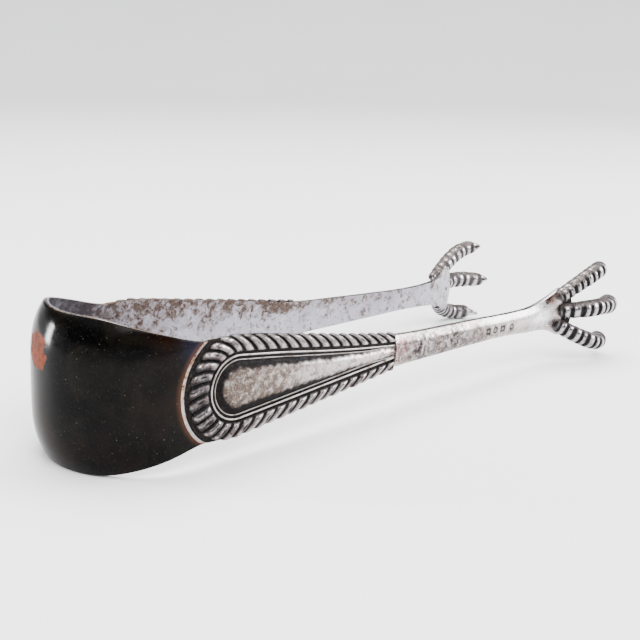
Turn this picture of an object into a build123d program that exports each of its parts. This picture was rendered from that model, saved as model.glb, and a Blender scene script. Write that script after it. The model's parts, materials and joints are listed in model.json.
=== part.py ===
"""Ice tongs: one flat spring bow, two tapering arms, gadrooned borders and three-toed claws.

Millimetres, +Z up, +X from the bow to the claws, +Y to the left arm.
Shapes are drawn in the tongs' own mid-plane (z = 0 half way up the strip) and
placed by `rest`, the small nose-down tilt the tongs take when laid on a table.
"""
import os
from math import asin, atan, cos, radians, sin, sqrt, tan

from build123d import *

os.makedirs("parts", exist_ok=True)

# ---- driving dimensions -------------------------------------------------------
# how the tongs lie: tilt about Y and the shift that centres them on the table
REST_TILT = 1.625
REST_SHIFT_X = -85.793
REST_SHIFT_Z = 17.163

# spring bow
BOW_RADIUS = 20.9          # outer face, half way up
BOW_THICK = 1.2
BOW_HALF = 17.0            # half the width of the strip at the back
CROWN = 3.05               # how far the face curls in at the two edges
CROWN_POWER = 3.9
BOW_FLAT_X = 6.0           # the edges run level up to here, then taper
SEAM_HALF = 11.17          # half width where bow and arm meet
SEAM_X = 27.5              # shoulders of the seam
SEAM_CENTRE_X = 33.9       # the seam is an arc about this point
SEAM_RADIUS = 12.9

# arms
ARM_DRIFT = 1.16           # degrees the straight face leans inwards
ARM_STRAIGHT_X = 85.0      # end of the straight face and of the border
# stations along the left arm: x, outer face y (None: on the straight face), half
# width, how far the face falls away at its edges and with what power, thickness,
# and the same fall on the inner face
ARM_STATIONS = [
    (20.0, None, 11.17, 0.60, 3.9, 1.20, 0.59),
    (38.0, None, 11.05, 0.60, 3.9, 1.20, 0.58),
    (50.0, None, 9.40, 0.60, 3.5, 1.25, 0.50),
    (60.0, None, 8.05, 0.65, 3.1, 1.35, 0.40),
    (72.0, None, 6.40, 0.75, 2.7, 1.50, 0.28),
    (85.0, None, 4.65, 0.90, 2.4, 1.75, 0.16),
    (103.0, 19.63, 3.85, 1.00, 2.2, 2.00, 0.10),
    (116.0, 19.74, 3.40, 1.05, 2.1, 2.15, 0.08),
    (128.0, 19.92, 3.08, 1.05, 2.1, 2.25, 0.06),
    (137.0, 20.20, 3.30, 1.00, 2.1, 2.25, 0.06),
    (143.0, 20.75, 3.95, 0.95, 2.1, 2.20, 0.06),
    (148.0, 21.75, 5.45, 0.90, 2.2, 2.15, 0.06),
    (153.0, 23.40, 7.10, 0.80, 2.3, 2.30, 0.06),
]

# teardrop outlines on the outer face: (centre of the round end, its radius,
# half width where the drop is cut off at ARM_STRAIGHT_X)
DROP_LOBES = (33.6, 11.45, 4.95)
DROP_BAND_IN = (35.0, 7.95, 2.75)
DROP_RAIL = (35.0, 7.15, 1.70)
DROP_PANEL = (34.9, 5.10, 0.50)
PANEL_RISE = 0.75
BAND_RISE = 0.25
LOBE_RISE = 0.95
LOBE_RADIUS = 1.40
LOBES_SIDE = 15            # lobes along each straight side
LOBES_ROUND = 11           # lobes round the end
LOBE_LEAN = 18.0           # degrees the side lobes lean back towards the bow
RAIL_RADIUS = 0.50

# claws: centre line of each toe (root, middle, end) on the left arm
TOE_RADIUS = 2.15
TOE_RING_RADIUS = 2.42
TOE_RING_WIDTH = 0.80
TOE_RINGS = 8
UPPER_TOE = ((150.6, 22.9, 5.9), (157.9, 24.3, 9.9), (164.2, 23.8, 11.6))
MIDDLE_TOE = ((151.4, 22.4, 0.5), (159.6, 25.9, 1.3), (169.6, 24.3, 0.8))
LOWER_TOE = ((150.8, 22.9, -4.8), (157.8, 26.1, -8.3), (165.0, 25.1, -10.158))
TALON_RADII = (1.25, 1.05, 0.65, 0.12)
UPPER_TALON_TIP = (164.2, 19.4, 12.4)
MIDDLE_TALON_TIP = (169.6, 19.7, 1.1)
LOWER_TALON_TIP = (166.6, 19.7, -9.9)

# ---- frames -------------------------------------------------------------------
rest = Location((REST_SHIFT_X, 0, REST_SHIFT_Z), (0, REST_TILT, 0))


def laid(plane):
    """A plane given in the tongs' mid-plane frame, as it lies on the table."""
    return Plane(rest * plane.location)


mid_plane = laid(Plane.XY)
side_plane = laid(Plane.XZ)
drift = radians(ARM_DRIFT)
FACE_Y = BOW_RADIUS * (1 + tan(drift))
left_face = laid(Plane(
    origin=(0, FACE_Y, 0),
    x_dir=(cos(drift), -sin(drift), 0),
    z_dir=(sin(drift), cos(drift), 0),
))
bow_centre = laid(Plane(origin=(BOW_RADIUS, 0, 0)))
bow_axis = Axis(bow_centre.origin, bow_centre.z_dir)
table_slope = tan(radians(REST_TILT))


def crown_at(z):
    """How far the strip's face has curled in at height z."""
    return CROWN * (abs(z) / BOW_HALF) ** CROWN_POWER


def strip_profile(start):
    """Crowned strip section: x runs inwards from `start`, y runs up the strip."""
    heights = [-17.4, -15.8, -13.4, -10.0, -5.0, 0.0, 5.0, 10.0, 13.4, 15.8, 17.4]
    with BuildLine() as outline:
        outer = Spline(*[(start + crown_at(z), z) for z in heights])
        inner = Spline(*[(start + BOW_THICK + crown_at(z), z) for z in heights])
        Line(outer @ 0, inner @ 0)
        Line(outer @ 1, inner @ 1)
    make_face(outline.edges())


def drop_corners(drop, cut_x=ARM_STRAIGHT_X):
    """Tangent point of a teardrop's straight side, and its cut end."""
    centre_x, radius, end_half = drop
    reach = sqrt((cut_x - centre_x) ** 2 + end_half ** 2)
    lean = asin(radius / reach) - atan(end_half / (cut_x - centre_x))
    return (centre_x + radius * sin(lean), radius * cos(lean)), (cut_x, end_half)


def drop_face(drop, cut_x=ARM_STRAIGHT_X, mode=Mode.ADD):
    """Filled teardrop: round end towards the bow, cut square towards the claws."""
    tangent, end = drop_corners(drop, cut_x)
    tip = (drop[0] - drop[1], 0)
    with BuildLine() as outline:
        ThreePointArc((tangent[0], -tangent[1]), tip, tangent)
        Polyline(tangent, end, (end[0], -end[1]), (tangent[0], -tangent[1]))
    make_face(outline.edges(), mode=mode)


def station_section(station):
    """One cross-section of the left arm on the plane x = station."""
    x, face, half, sag, power, thick, inner_sag = station
    if face is None:
        face = FACE_Y - x * tan(drift)
    steps = [-1.0, -0.75, -0.45, 0.0, 0.45, 0.75, 1.0]
    plane = laid(Plane(origin=(x, 0, 0), x_dir=(0, 1, 0), z_dir=(1, 0, 0)))
    with BuildSketch(plane) as section:
        with BuildLine():
            outer = Spline(*[(face - sag * abs(u) ** power, half * u) for u in steps])
            inner = Spline(
                *[(face - thick - inner_sag * abs(u) ** power, half * u) for u in steps]
            )
            Line(outer @ 0, inner @ 0)
            Line(outer @ 1, inner @ 1)
        make_face()
    return section.sketch


def lobe_places():
    """(x, y, heading, length) of every lobe on the flat face, heading across the band."""
    places = []
    centre_x = (DROP_LOBES[0] + DROP_BAND_IN[0]) / 2
    radius = (DROP_LOBES[1] + DROP_BAND_IN[1]) / 2
    sweep_angle = 160.0
    for i in range(LOBES_ROUND):
        turn = 180.0 - sweep_angle / 2 + sweep_angle * i / (LOBES_ROUND - 1)
        places.append((
            centre_x + radius * cos(radians(turn)),
            radius * sin(radians(turn)),
            turn,
            2.3 + 1.0 * abs(cos(radians(turn))),
        ))
    outer_start, outer_end = drop_corners(DROP_LOBES)
    inner_start, inner_end = drop_corners(DROP_BAND_IN)
    for side in (1, -1):
        for i in range(LOBES_SIDE):
            part_way = (i + 0.62) / LOBES_SIDE
            x = 36.2 + (ARM_STRAIGHT_X - 36.2) * part_way
            out_y = outer_start[1] + (outer_end[1] - outer_start[1]) * part_way
            in_y = inner_start[1] + (inner_end[1] - inner_start[1]) * part_way
            places.append((
                x,
                side * (out_y + in_y) / 2,
                side * (90.0 + LOBE_LEAN),
                (out_y - in_y) - 1.35,
            ))
    return places


# ---- spring bow ---------------------------------------------------------------
with BuildPart() as spring_bow:
    with BuildSketch(side_plane):
        strip_profile(0)
    revolve(axis=bow_axis, revolution_arc=90 + ARM_DRIFT)
    legs_out = laid(Plane(
        origin=(BOW_RADIUS, 0, 0),
        x_dir=(-sin(drift), -cos(drift), 0),
        z_dir=(-cos(drift), sin(drift), 0),
    ))
    with BuildSketch(legs_out):
        strip_profile(-BOW_RADIUS)
    extrude(amount=-9)
    mirror(about=Plane.XZ)
    with BuildSketch(side_plane) as bow_outline:
        with BuildLine():
            Line((-2, BOW_HALF), (BOW_FLAT_X, BOW_HALF))
            Line((BOW_FLAT_X, BOW_HALF), (SEAM_X, SEAM_HALF))
            ThreePointArc(
                (SEAM_X, SEAM_HALF),
                (SEAM_CENTRE_X - SEAM_RADIUS, 0),
                (SEAM_X, -SEAM_HALF),
            )
            Line((SEAM_X, -SEAM_HALF), (BOW_FLAT_X, -BOW_HALF))
            low_back = (-2, -BOW_HALF - table_slope * (BOW_FLAT_X + 2))
            Line((BOW_FLAT_X, -BOW_HALF), low_back)
            Line(low_back, (-2, BOW_HALF))
        make_face()
        turns = bow_outline.vertices().filter_by(lambda v: abs(v.X - BOW_FLAT_X) < 0.1)
        if turns:
            fillet(turns, 9)
    extrude(amount=40, both=True, mode=Mode.INTERSECT)
spring_bow.part.label = "spring_bow"
export_step(spring_bow.part, "parts/spring_bow.step")

# ---- arms ---------------------------------------------------------------------
with BuildPart() as left_arm:
    loft([station_section(arm_station) for arm_station in ARM_STATIONS])
    with BuildSketch(side_plane):
        with Locations((SEAM_CENTRE_X, 0)):
            Circle(SEAM_RADIUS)
        with Locations((SEAM_X + 75, 0)):
            Rectangle(150, 40)
    extrude(amount=40, both=True, mode=Mode.INTERSECT)
    with BuildSketch(left_face):
        drop_face(DROP_PANEL)
    extrude(amount=PANEL_RISE, taper=35)
    with BuildSketch(left_face):
        drop_face(DROP_PANEL)
    extrude(amount=-0.5)
    add(spring_bow.part, mode=Mode.SUBTRACT)
left_arm.part.label = "left_arm"
export_step(left_arm.part, "parts/left_arm.step")

with BuildPart() as right_arm:
    mirror(left_arm.part, about=Plane.XZ)
right_arm.part.label = "right_arm"
export_step(right_arm.part, "parts/right_arm.step")

# ---- gadroon borders ----------------------------------------------------------
with BuildPart() as left_gadroon_border:
    with BuildSketch(left_face.offset(-0.75)):
        drop_face(DROP_LOBES)
        drop_face(DROP_BAND_IN, cut_x=ARM_STRAIGHT_X + 0.01, mode=Mode.SUBTRACT)
    extrude(amount=0.75 + BAND_RISE)
    sunk = LOBE_RISE - LOBE_RADIUS
    for x, y, heading, length in lobe_places():
        lobe = left_face.location * Location((x, y, sunk), (0, 0, heading))
        with Locations(lobe):
            Cylinder(LOBE_RADIUS, length, rotation=(0, 90, 0))
    with BuildSketch(left_face.offset(-0.75)):
        drop_face((DROP_LOBES[0], DROP_LOBES[1] + 0.25, DROP_LOBES[2] + 0.25))
    extrude(amount=3, mode=Mode.INTERSECT)
    add(left_arm.part, mode=Mode.SUBTRACT)
left_gadroon_border.part.label = "left_gadroon_border"
export_step(left_gadroon_border.part, "parts/left_gadroon_border.step")

with BuildPart() as right_gadroon_border:
    mirror(left_gadroon_border.part, about=Plane.XZ)
right_gadroon_border.part.label = "right_gadroon_border"
export_step(right_gadroon_border.part, "parts/right_gadroon_border.step")

# ---- bead rails ---------------------------------------------------------------
with BuildPart() as left_bead_rail:
    rail_tangent, rail_end = drop_corners(DROP_RAIL)
    with BuildLine(left_face.offset(0.1)) as rail_path:
        Line((rail_end[0], -rail_end[1]), (rail_tangent[0], -rail_tangent[1]))
        ThreePointArc(
            (rail_tangent[0], -rail_tangent[1]),
            (DROP_RAIL[0] - DROP_RAIL[1], 0),
            rail_tangent,
        )
        Line(rail_tangent, rail_end)
    with BuildSketch(Plane(origin=rail_path.line @ 0, z_dir=rail_path.line % 0)):
        Circle(RAIL_RADIUS)
    sweep(path=rail_path.line)
    add(left_arm.part, mode=Mode.SUBTRACT)
    add(left_gadroon_border.part, mode=Mode.SUBTRACT)
left_bead_rail.part.label = "left_bead_rail"
export_step(left_bead_rail.part, "parts/left_bead_rail.step")

with BuildPart() as right_bead_rail:
    mirror(left_bead_rail.part, about=Plane.XZ)
right_bead_rail.part.label = "right_bead_rail"
export_step(right_bead_rail.part, "parts/right_bead_rail.step")


# ---- claws --------------------------------------------------------------------
def toe_shape(centre_line):
    """Ringed toe along a curved centre line with a rounded end."""
    with BuildLine(mid_plane) as path:
        Spline(*centre_line)
    with BuildSketch(Plane(origin=path.line @ 0, z_dir=path.line % 0)) as disc:
        Circle(TOE_RADIUS)
    sweep(disc.sketch, path=path.line)
    with Locations(Location(path.line @ 1)):
        Sphere(TOE_RADIUS)
    rings = []
    for i in range(TOE_RINGS):
        along = 0.20 + 0.76 * i / (TOE_RINGS - 1)
        ring_plane = Plane(origin=path.line @ along, z_dir=path.line % along)
        rings.append(ring_plane.location)
    with Locations(*rings):
        Cylinder(TOE_RING_RADIUS, TOE_RING_WIDTH)


def talon_shape(toe_end, tip):
    """Curved point turning inwards from the end of a toe."""
    with BuildLine(mid_plane) as path:
        bend = (toe_end[0] + 1.7, toe_end[1] - 1.6, (toe_end[2] * 0.6 + tip[2] * 0.4))
        Bezier((toe_end[0] + 0.3, toe_end[1], toe_end[2]), bend, tip)
    discs = []
    for i, radius in enumerate(TALON_RADII):
        along = i / (len(TALON_RADII) - 1)
        with BuildSketch(Plane(origin=path.line @ along, z_dir=path.line % along)) as disc:
            Circle(radius)
        discs.append(disc.sketch)
    loft(discs)


with BuildPart() as left_upper_toe:
    toe_shape(UPPER_TOE)
    add(left_arm.part, mode=Mode.SUBTRACT)
left_upper_toe.part.label = "left_upper_toe"
export_step(left_upper_toe.part, "parts/left_upper_toe.step")

with BuildPart() as left_middle_toe:
    toe_shape(MIDDLE_TOE)
    add(left_arm.part, mode=Mode.SUBTRACT)
    add(left_upper_toe.part, mode=Mode.SUBTRACT)
left_middle_toe.part.label = "left_middle_toe"
export_step(left_middle_toe.part, "parts/left_middle_toe.step")

with BuildPart() as left_lower_toe:
    toe_shape(LOWER_TOE)
    add(left_arm.part, mode=Mode.SUBTRACT)
    add(left_middle_toe.part, mode=Mode.SUBTRACT)
left_lower_toe.part.label = "left_lower_toe"
export_step(left_lower_toe.part, "parts/left_lower_toe.step")

with BuildPart() as left_upper_talon:
    talon_shape(UPPER_TOE[2], UPPER_TALON_TIP)
    add(left_upper_toe.part, mode=Mode.SUBTRACT)
left_upper_talon.part.label = "left_upper_talon"
export_step(left_upper_talon.part, "parts/left_upper_talon.step")

with BuildPart() as left_middle_talon:
    talon_shape(MIDDLE_TOE[2], MIDDLE_TALON_TIP)
    add(left_middle_toe.part, mode=Mode.SUBTRACT)
left_middle_talon.part.label = "left_middle_talon"
export_step(left_middle_talon.part, "parts/left_middle_talon.step")

with BuildPart() as left_lower_talon:
    talon_shape(LOWER_TOE[2], LOWER_TALON_TIP)
    add(left_lower_toe.part, mode=Mode.SUBTRACT)
left_lower_talon.part.label = "left_lower_talon"
export_step(left_lower_talon.part, "parts/left_lower_talon.step")

with BuildPart() as right_upper_toe:
    mirror(left_upper_toe.part, about=Plane.XZ)
right_upper_toe.part.label = "right_upper_toe"
export_step(right_upper_toe.part, "parts/right_upper_toe.step")

with BuildPart() as right_middle_toe:
    mirror(left_middle_toe.part, about=Plane.XZ)
right_middle_toe.part.label = "right_middle_toe"
export_step(right_middle_toe.part, "parts/right_middle_toe.step")

with BuildPart() as right_lower_toe:
    mirror(left_lower_toe.part, about=Plane.XZ)
right_lower_toe.part.label = "right_lower_toe"
export_step(right_lower_toe.part, "parts/right_lower_toe.step")

with BuildPart() as right_upper_talon:
    mirror(left_upper_talon.part, about=Plane.XZ)
right_upper_talon.part.label = "right_upper_talon"
export_step(right_upper_talon.part, "parts/right_upper_talon.step")

with BuildPart() as right_middle_talon:
    mirror(left_middle_talon.part, about=Plane.XZ)
right_middle_talon.part.label = "right_middle_talon"
export_step(right_middle_talon.part, "parts/right_middle_talon.step")

with BuildPart() as right_lower_talon:
    mirror(left_lower_talon.part, about=Plane.XZ)
right_lower_talon.part.label = "right_lower_talon"
export_step(right_lower_talon.part, "parts/right_lower_talon.step")
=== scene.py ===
import json
import math

import bpy
import numpy as np
from mathutils import Matrix, Vector

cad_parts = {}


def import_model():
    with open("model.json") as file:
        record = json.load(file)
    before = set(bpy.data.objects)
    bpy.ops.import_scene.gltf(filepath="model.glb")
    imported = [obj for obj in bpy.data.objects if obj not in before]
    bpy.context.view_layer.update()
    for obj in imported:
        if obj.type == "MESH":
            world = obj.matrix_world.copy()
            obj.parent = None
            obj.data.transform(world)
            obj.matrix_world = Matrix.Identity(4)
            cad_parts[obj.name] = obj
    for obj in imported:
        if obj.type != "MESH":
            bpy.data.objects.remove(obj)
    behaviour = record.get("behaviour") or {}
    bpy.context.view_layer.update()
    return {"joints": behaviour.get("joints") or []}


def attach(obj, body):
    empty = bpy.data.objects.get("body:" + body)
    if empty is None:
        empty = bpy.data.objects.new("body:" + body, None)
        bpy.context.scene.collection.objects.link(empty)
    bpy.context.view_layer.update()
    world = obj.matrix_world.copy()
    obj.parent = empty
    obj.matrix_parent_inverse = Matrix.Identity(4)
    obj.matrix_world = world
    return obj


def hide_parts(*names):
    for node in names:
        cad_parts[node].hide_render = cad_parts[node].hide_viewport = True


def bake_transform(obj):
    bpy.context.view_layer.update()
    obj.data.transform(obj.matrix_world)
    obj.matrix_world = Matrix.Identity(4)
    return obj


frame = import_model()

# ---- the tongs' own frame ------------------------------------------------------------
# Shapes are worked out in millimetres in the tongs' mid-plane frame, as in part.py:
# x from the back of the bow to the claws, y to the left arm, z across the strip.
BOW_RADIUS = 20.9
PIVOT_X = BOW_RADIUS * (1 - 2 / math.pi)
PIVOT_Y = BOW_RADIUS * 2 / math.pi
MM = 0.001
joint = {j["name"]: j for j in frame["joints"]}
UP = np.array(joint["right_arm_squeeze"]["axis"], float)
UP /= np.linalg.norm(UP)
SIDE = np.array([0.0, 1.0, 0.0])
ALONG = np.cross(SIDE, UP)
ORIGIN = (
    np.array(joint["left_arm_squeeze"]["pos_m"], float)
    - ALONG * PIVOT_X * MM
    - SIDE * PIVOT_Y * MM
)


def laid(points):
    """Mid-plane millimetres to row-frame metres, for one point or an array of them."""
    p = np.asarray(points, float) * MM
    return ORIGIN + p[..., :1] * ALONG + p[..., 1:2] * SIDE + p[..., 2:3] * UP


# ---- design dimensions, millimetres --------------------------------------------------
BOW_HALF = 17.0
BOW_THICK = 1.2
CROWN = 3.05
CROWN_POWER = 3.9
SEAM_HALF = 11.17
SEAM_CENTRE_X = 33.9
SEAM_RADIUS = 12.9
DRIFT = math.radians(1.16)
FACE_Y = BOW_RADIUS * (1 + math.tan(DRIFT))
BORDER_END_X = 85.0
PALM_X = 153.0

# arm stations: x, face y, half width, fall at the edges, its power, thickness
STATIONS = np.array([
    (20.0, FACE_Y - 20.0 * math.tan(DRIFT), 11.17, 0.60, 3.9, 1.20),
    (38.0, FACE_Y - 38.0 * math.tan(DRIFT), 11.05, 0.60, 3.9, 1.20),
    (50.0, FACE_Y - 50.0 * math.tan(DRIFT), 9.40, 0.60, 3.5, 1.25),
    (60.0, FACE_Y - 60.0 * math.tan(DRIFT), 8.05, 0.65, 3.1, 1.35),
    (72.0, FACE_Y - 72.0 * math.tan(DRIFT), 6.40, 0.75, 2.7, 1.50),
    (85.0, FACE_Y - 85.0 * math.tan(DRIFT), 4.65, 0.90, 2.4, 1.75),
    (103.0, 19.63, 3.85, 1.00, 2.2, 2.00),
    (116.0, 19.74, 3.40, 1.05, 2.1, 2.15),
    (128.0, 19.92, 3.08, 1.05, 2.1, 2.25),
    (137.0, 20.20, 3.30, 1.00, 2.1, 2.25),
    (143.0, 20.75, 3.85, 0.95, 2.1, 2.20),
    (146.5, 21.30, 4.80, 0.90, 2.2, 2.10),
    (149.5, 22.15, 6.15, 0.80, 2.2, 2.10),
    (153.0, 23.60, 7.30, 0.70, 2.3, 2.50),
])

# teardrops on the outer face: centre of the round end, its radius, cut half width
DROP_LOBES = (33.6, 11.45, 4.95)
DROP_BAND_IN = (35.0, 7.95, 2.75)
DROP_RAIL = (35.0, 7.15, 1.70)
DROP_PANEL = (34.9, 5.10, 0.50)
PANEL_RISE = 0.95
LOBES_SIDE = 15
LOBES_ROUND = 12

# claws, as on the left arm: centre line of each toe (root, middle, end) and talon tip
TOES = {
    "upper": ((148.2, 22.3, 4.5), (157.9, 24.3, 9.3), (164.2, 23.8, 11.0)),
    "middle": ((149.7, 21.9, 0.0), (158.6, 26.2, 0.6), (170.0, 24.3, 0.0)),
    "lower": ((148.7, 21.8, -4.3), (157.8, 26.6, -8.9), (165.2, 25.2, -10.2)),
}
TALON_TIPS = {
    "upper": (164.2, 19.4, 12.2),
    "middle": (169.6, 19.7, 0.8),
    "lower": (166.6, 19.7, -10.2),
}
TOE_RADII = {
    "upper": (1.90, 2.20, 2.30, 2.30),
    "middle": (2.10, 2.35, 2.40, 2.80),
    "lower": (1.90, 2.20, 2.25, 2.40),
}
TOE_RINGS = 8
# the left toes end a little thinner than the right ones
LEFT_END = {"upper": 0.92, "middle": 0.76, "lower": 0.90}
# how much higher the right claw sits than the left one, as if its arm were bent a little,
# and the same for the tips of its talons
RAISE = {"arm": 1.7, "upper": 1.7, "middle": 1.9, "lower": 2.4}
TIP_RAISE = {"upper": -0.9, "middle": 0.6, "lower": 0.8}
# the right arm's upper edge is a little lower than the left one's, worn or hammered down,
# between the middle two of these places and fading out towards the outer two
UPPER_EDGE_WEAR = 0.85
WEAR_X = (42, 80, 92, 128)
WEAR_FULL_Z = 4.6


# ---- small maths ---------------------------------------------------------------------
def side_name(side):
    """side is 1 on the left and -1 on the right, like y."""
    return "left" if side > 0 else "right"


def smooth(edge0, edge1, value):
    t = np.clip((value - edge0) / (edge1 - edge0), 0, 1)
    return t * t * (3 - 2 * t)


def through(xs, ys, x):
    """Smooth curve through (xs, ys) that doesn't overshoot, evaluated at x."""
    xs, ys, x = np.asarray(xs, float), np.asarray(ys, float), np.asarray(x, float)
    step = np.diff(xs)
    slope = np.diff(ys) / step
    tangent = np.concatenate([[slope[0]], (slope[1:] + slope[:-1]) / 2, [slope[-1]]])
    turns = slope[1:] * slope[:-1] <= 0
    tangent[1:-1][turns] = 0
    i = np.clip(np.searchsorted(xs, x) - 1, 0, len(xs) - 2)
    t = (x - xs[i]) / step[i]
    h00, h10 = 2 * t**3 - 3 * t**2 + 1, t**3 - 2 * t**2 + t
    h01, h11 = -2 * t**3 + 3 * t**2, t**3 - t**2
    start = h00 * ys[i] + h10 * step[i] * tangent[i]
    return start + h01 * ys[i + 1] + h11 * step[i] * tangent[i + 1]


def drop_distance(drop, x, z):
    """Signed distance to a teardrop outline, negative inside (the cut end left open)."""
    centre_x, r1, r2 = drop
    h = BORDER_END_X - centre_x
    px, py = np.abs(z), x - centre_x
    b = (r1 - r2) / h
    a = math.sqrt(1 - b * b)
    k = -b * px + a * py
    round_end = np.hypot(px, py) - r1
    side = a * px + b * py - r1
    return np.where(k < 0, round_end, side)


def drop_tangent(drop):
    """Where a straight side leaves the round end, and how far the side leans in."""
    centre_x, radius, end_half = drop
    reach = math.hypot(BORDER_END_X - centre_x, end_half)
    lean = math.asin(radius / reach) - math.atan(end_half / (BORDER_END_X - centre_x))
    return (centre_x + radius * math.sin(lean), radius * math.cos(lean)), lean


def hairpin(drop, q):
    """Point on a teardrop outline: q 0..1 lower side, 1..2 round end, 2..3 upper side."""
    (tangent_x, tangent_z), lean = drop_tangent(drop)
    centre_x, radius, end_half = drop
    q = np.asarray(q, float)
    turn = -(math.pi / 2 - lean) - (q - 1) * (math.pi + 2 * lean)
    low = (
        BORDER_END_X + (tangent_x - BORDER_END_X) * q,
        -(end_half + (tangent_z - end_half) * q),
    )
    up = (
        tangent_x + (BORDER_END_X - tangent_x) * (q - 2),
        tangent_z + (end_half - tangent_z) * (q - 2),
    )
    x = np.where(q < 1, low[0], np.where(q > 2, up[0], centre_x + radius * np.cos(turn)))
    z = np.where(q < 1, low[1], np.where(q > 2, up[1], radius * np.sin(turn)))
    return x, z


def station(column, x):
    return through(STATIONS[:, 0], STATIONS[:, column], x)


def arm_half(x):
    half = station(2, x)
    return half * (1 - 0.10 * np.clip((x - 150.0) / 3.0, 0, 1) ** 2)


def arm_base(x, z):
    """Outer face of the arm's plain strip, before the panel is raised on it."""
    u = np.clip(np.abs(z) / arm_half(x), 0, 1)
    return station(1, x) - station(3, x) * u ** station(4, x)


def arm_inner(x, z):
    u = np.clip(np.abs(z) / arm_half(x), 0, 1)
    fall = through([20, 50, 85, 116, 153], [0.59, 0.5, 0.16, 0.08, 0.06], x)
    return station(1, x) - station(5, x) - fall * u ** station(4, x)


# ---- mesh helpers --------------------------------------------------------------------
def loop_mesh(name, rows, materials, bands, attributes, side, sharp, own=None):
    """Closed tube of rows[i, k] loops in mid-plane mm, given for the left side and
    mirrored for the right. bands[k] is the material of the strip of faces between loop
    points k and k + 1, unless own(i, k) gives another. Ends are closed by quads across
    the loop, so a loop has an even number of points, the second half running back."""
    rows = np.array(rows, float)
    count, around = rows.shape[:2]
    if side < 0:
        rows = rows * [1, -1, 1]
        x = rows[..., 0]
        worn = smooth(WEAR_X[0], WEAR_X[1], x) * smooth(WEAR_X[3], WEAR_X[2], x)
        rows[..., 2] -= UPPER_EDGE_WEAR * worn * np.clip(rows[..., 2] / WEAR_FULL_Z, 0, 1)
    points = laid(rows.reshape(-1, 3))
    faces = []
    slots = []
    for i in range(count - 1):
        for k in range(around):
            k2 = (k + 1) % around
            here, ahead = i * around, (i + 1) * around
            faces.append((here + k, here + k2, ahead + k2, ahead + k))
            slots.append(bands[k] if own is None else own(i, k))
    for end in (0, count - 1):
        for k in range(around // 2 - 1):
            quad = (
                end * around + k,
                end * around + k + 1,
                end * around + around - 2 - k,
                end * around + around - 1 - k,
            )
            faces.append(quad if end else quad[::-1])
            slots.append(bands[-1])
    # faces look outwards when the volume they close is positive
    corners = np.array(faces)
    a, b, c, d = (points[corners[:, k]] for k in range(4))
    volume = (np.cross(b, c) * a + np.cross(c, d) * a).sum()
    if volume < 0:
        faces = [f[::-1] for f in faces]
    mesh = bpy.data.meshes.new(name)
    mesh.from_pydata([tuple(p) for p in points], [], faces)
    for m in materials:
        mesh.materials.append(m)
    mesh.polygons.foreach_set("material_index", slots)
    mesh.polygons.foreach_set("use_smooth", [True] * len(faces))
    for label, values in attributes.items():
        layer = mesh.attributes.new(label, "FLOAT", "POINT")
        layer.data.foreach_set("value", np.asarray(values, np.float32).ravel())
    mesh.validate()
    mesh.update()
    mesh.set_sharp_from_angle(angle=math.radians(sharp))
    obj = bpy.data.objects.new(name, mesh)
    bpy.context.scene.collection.objects.link(obj)
    return obj


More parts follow.
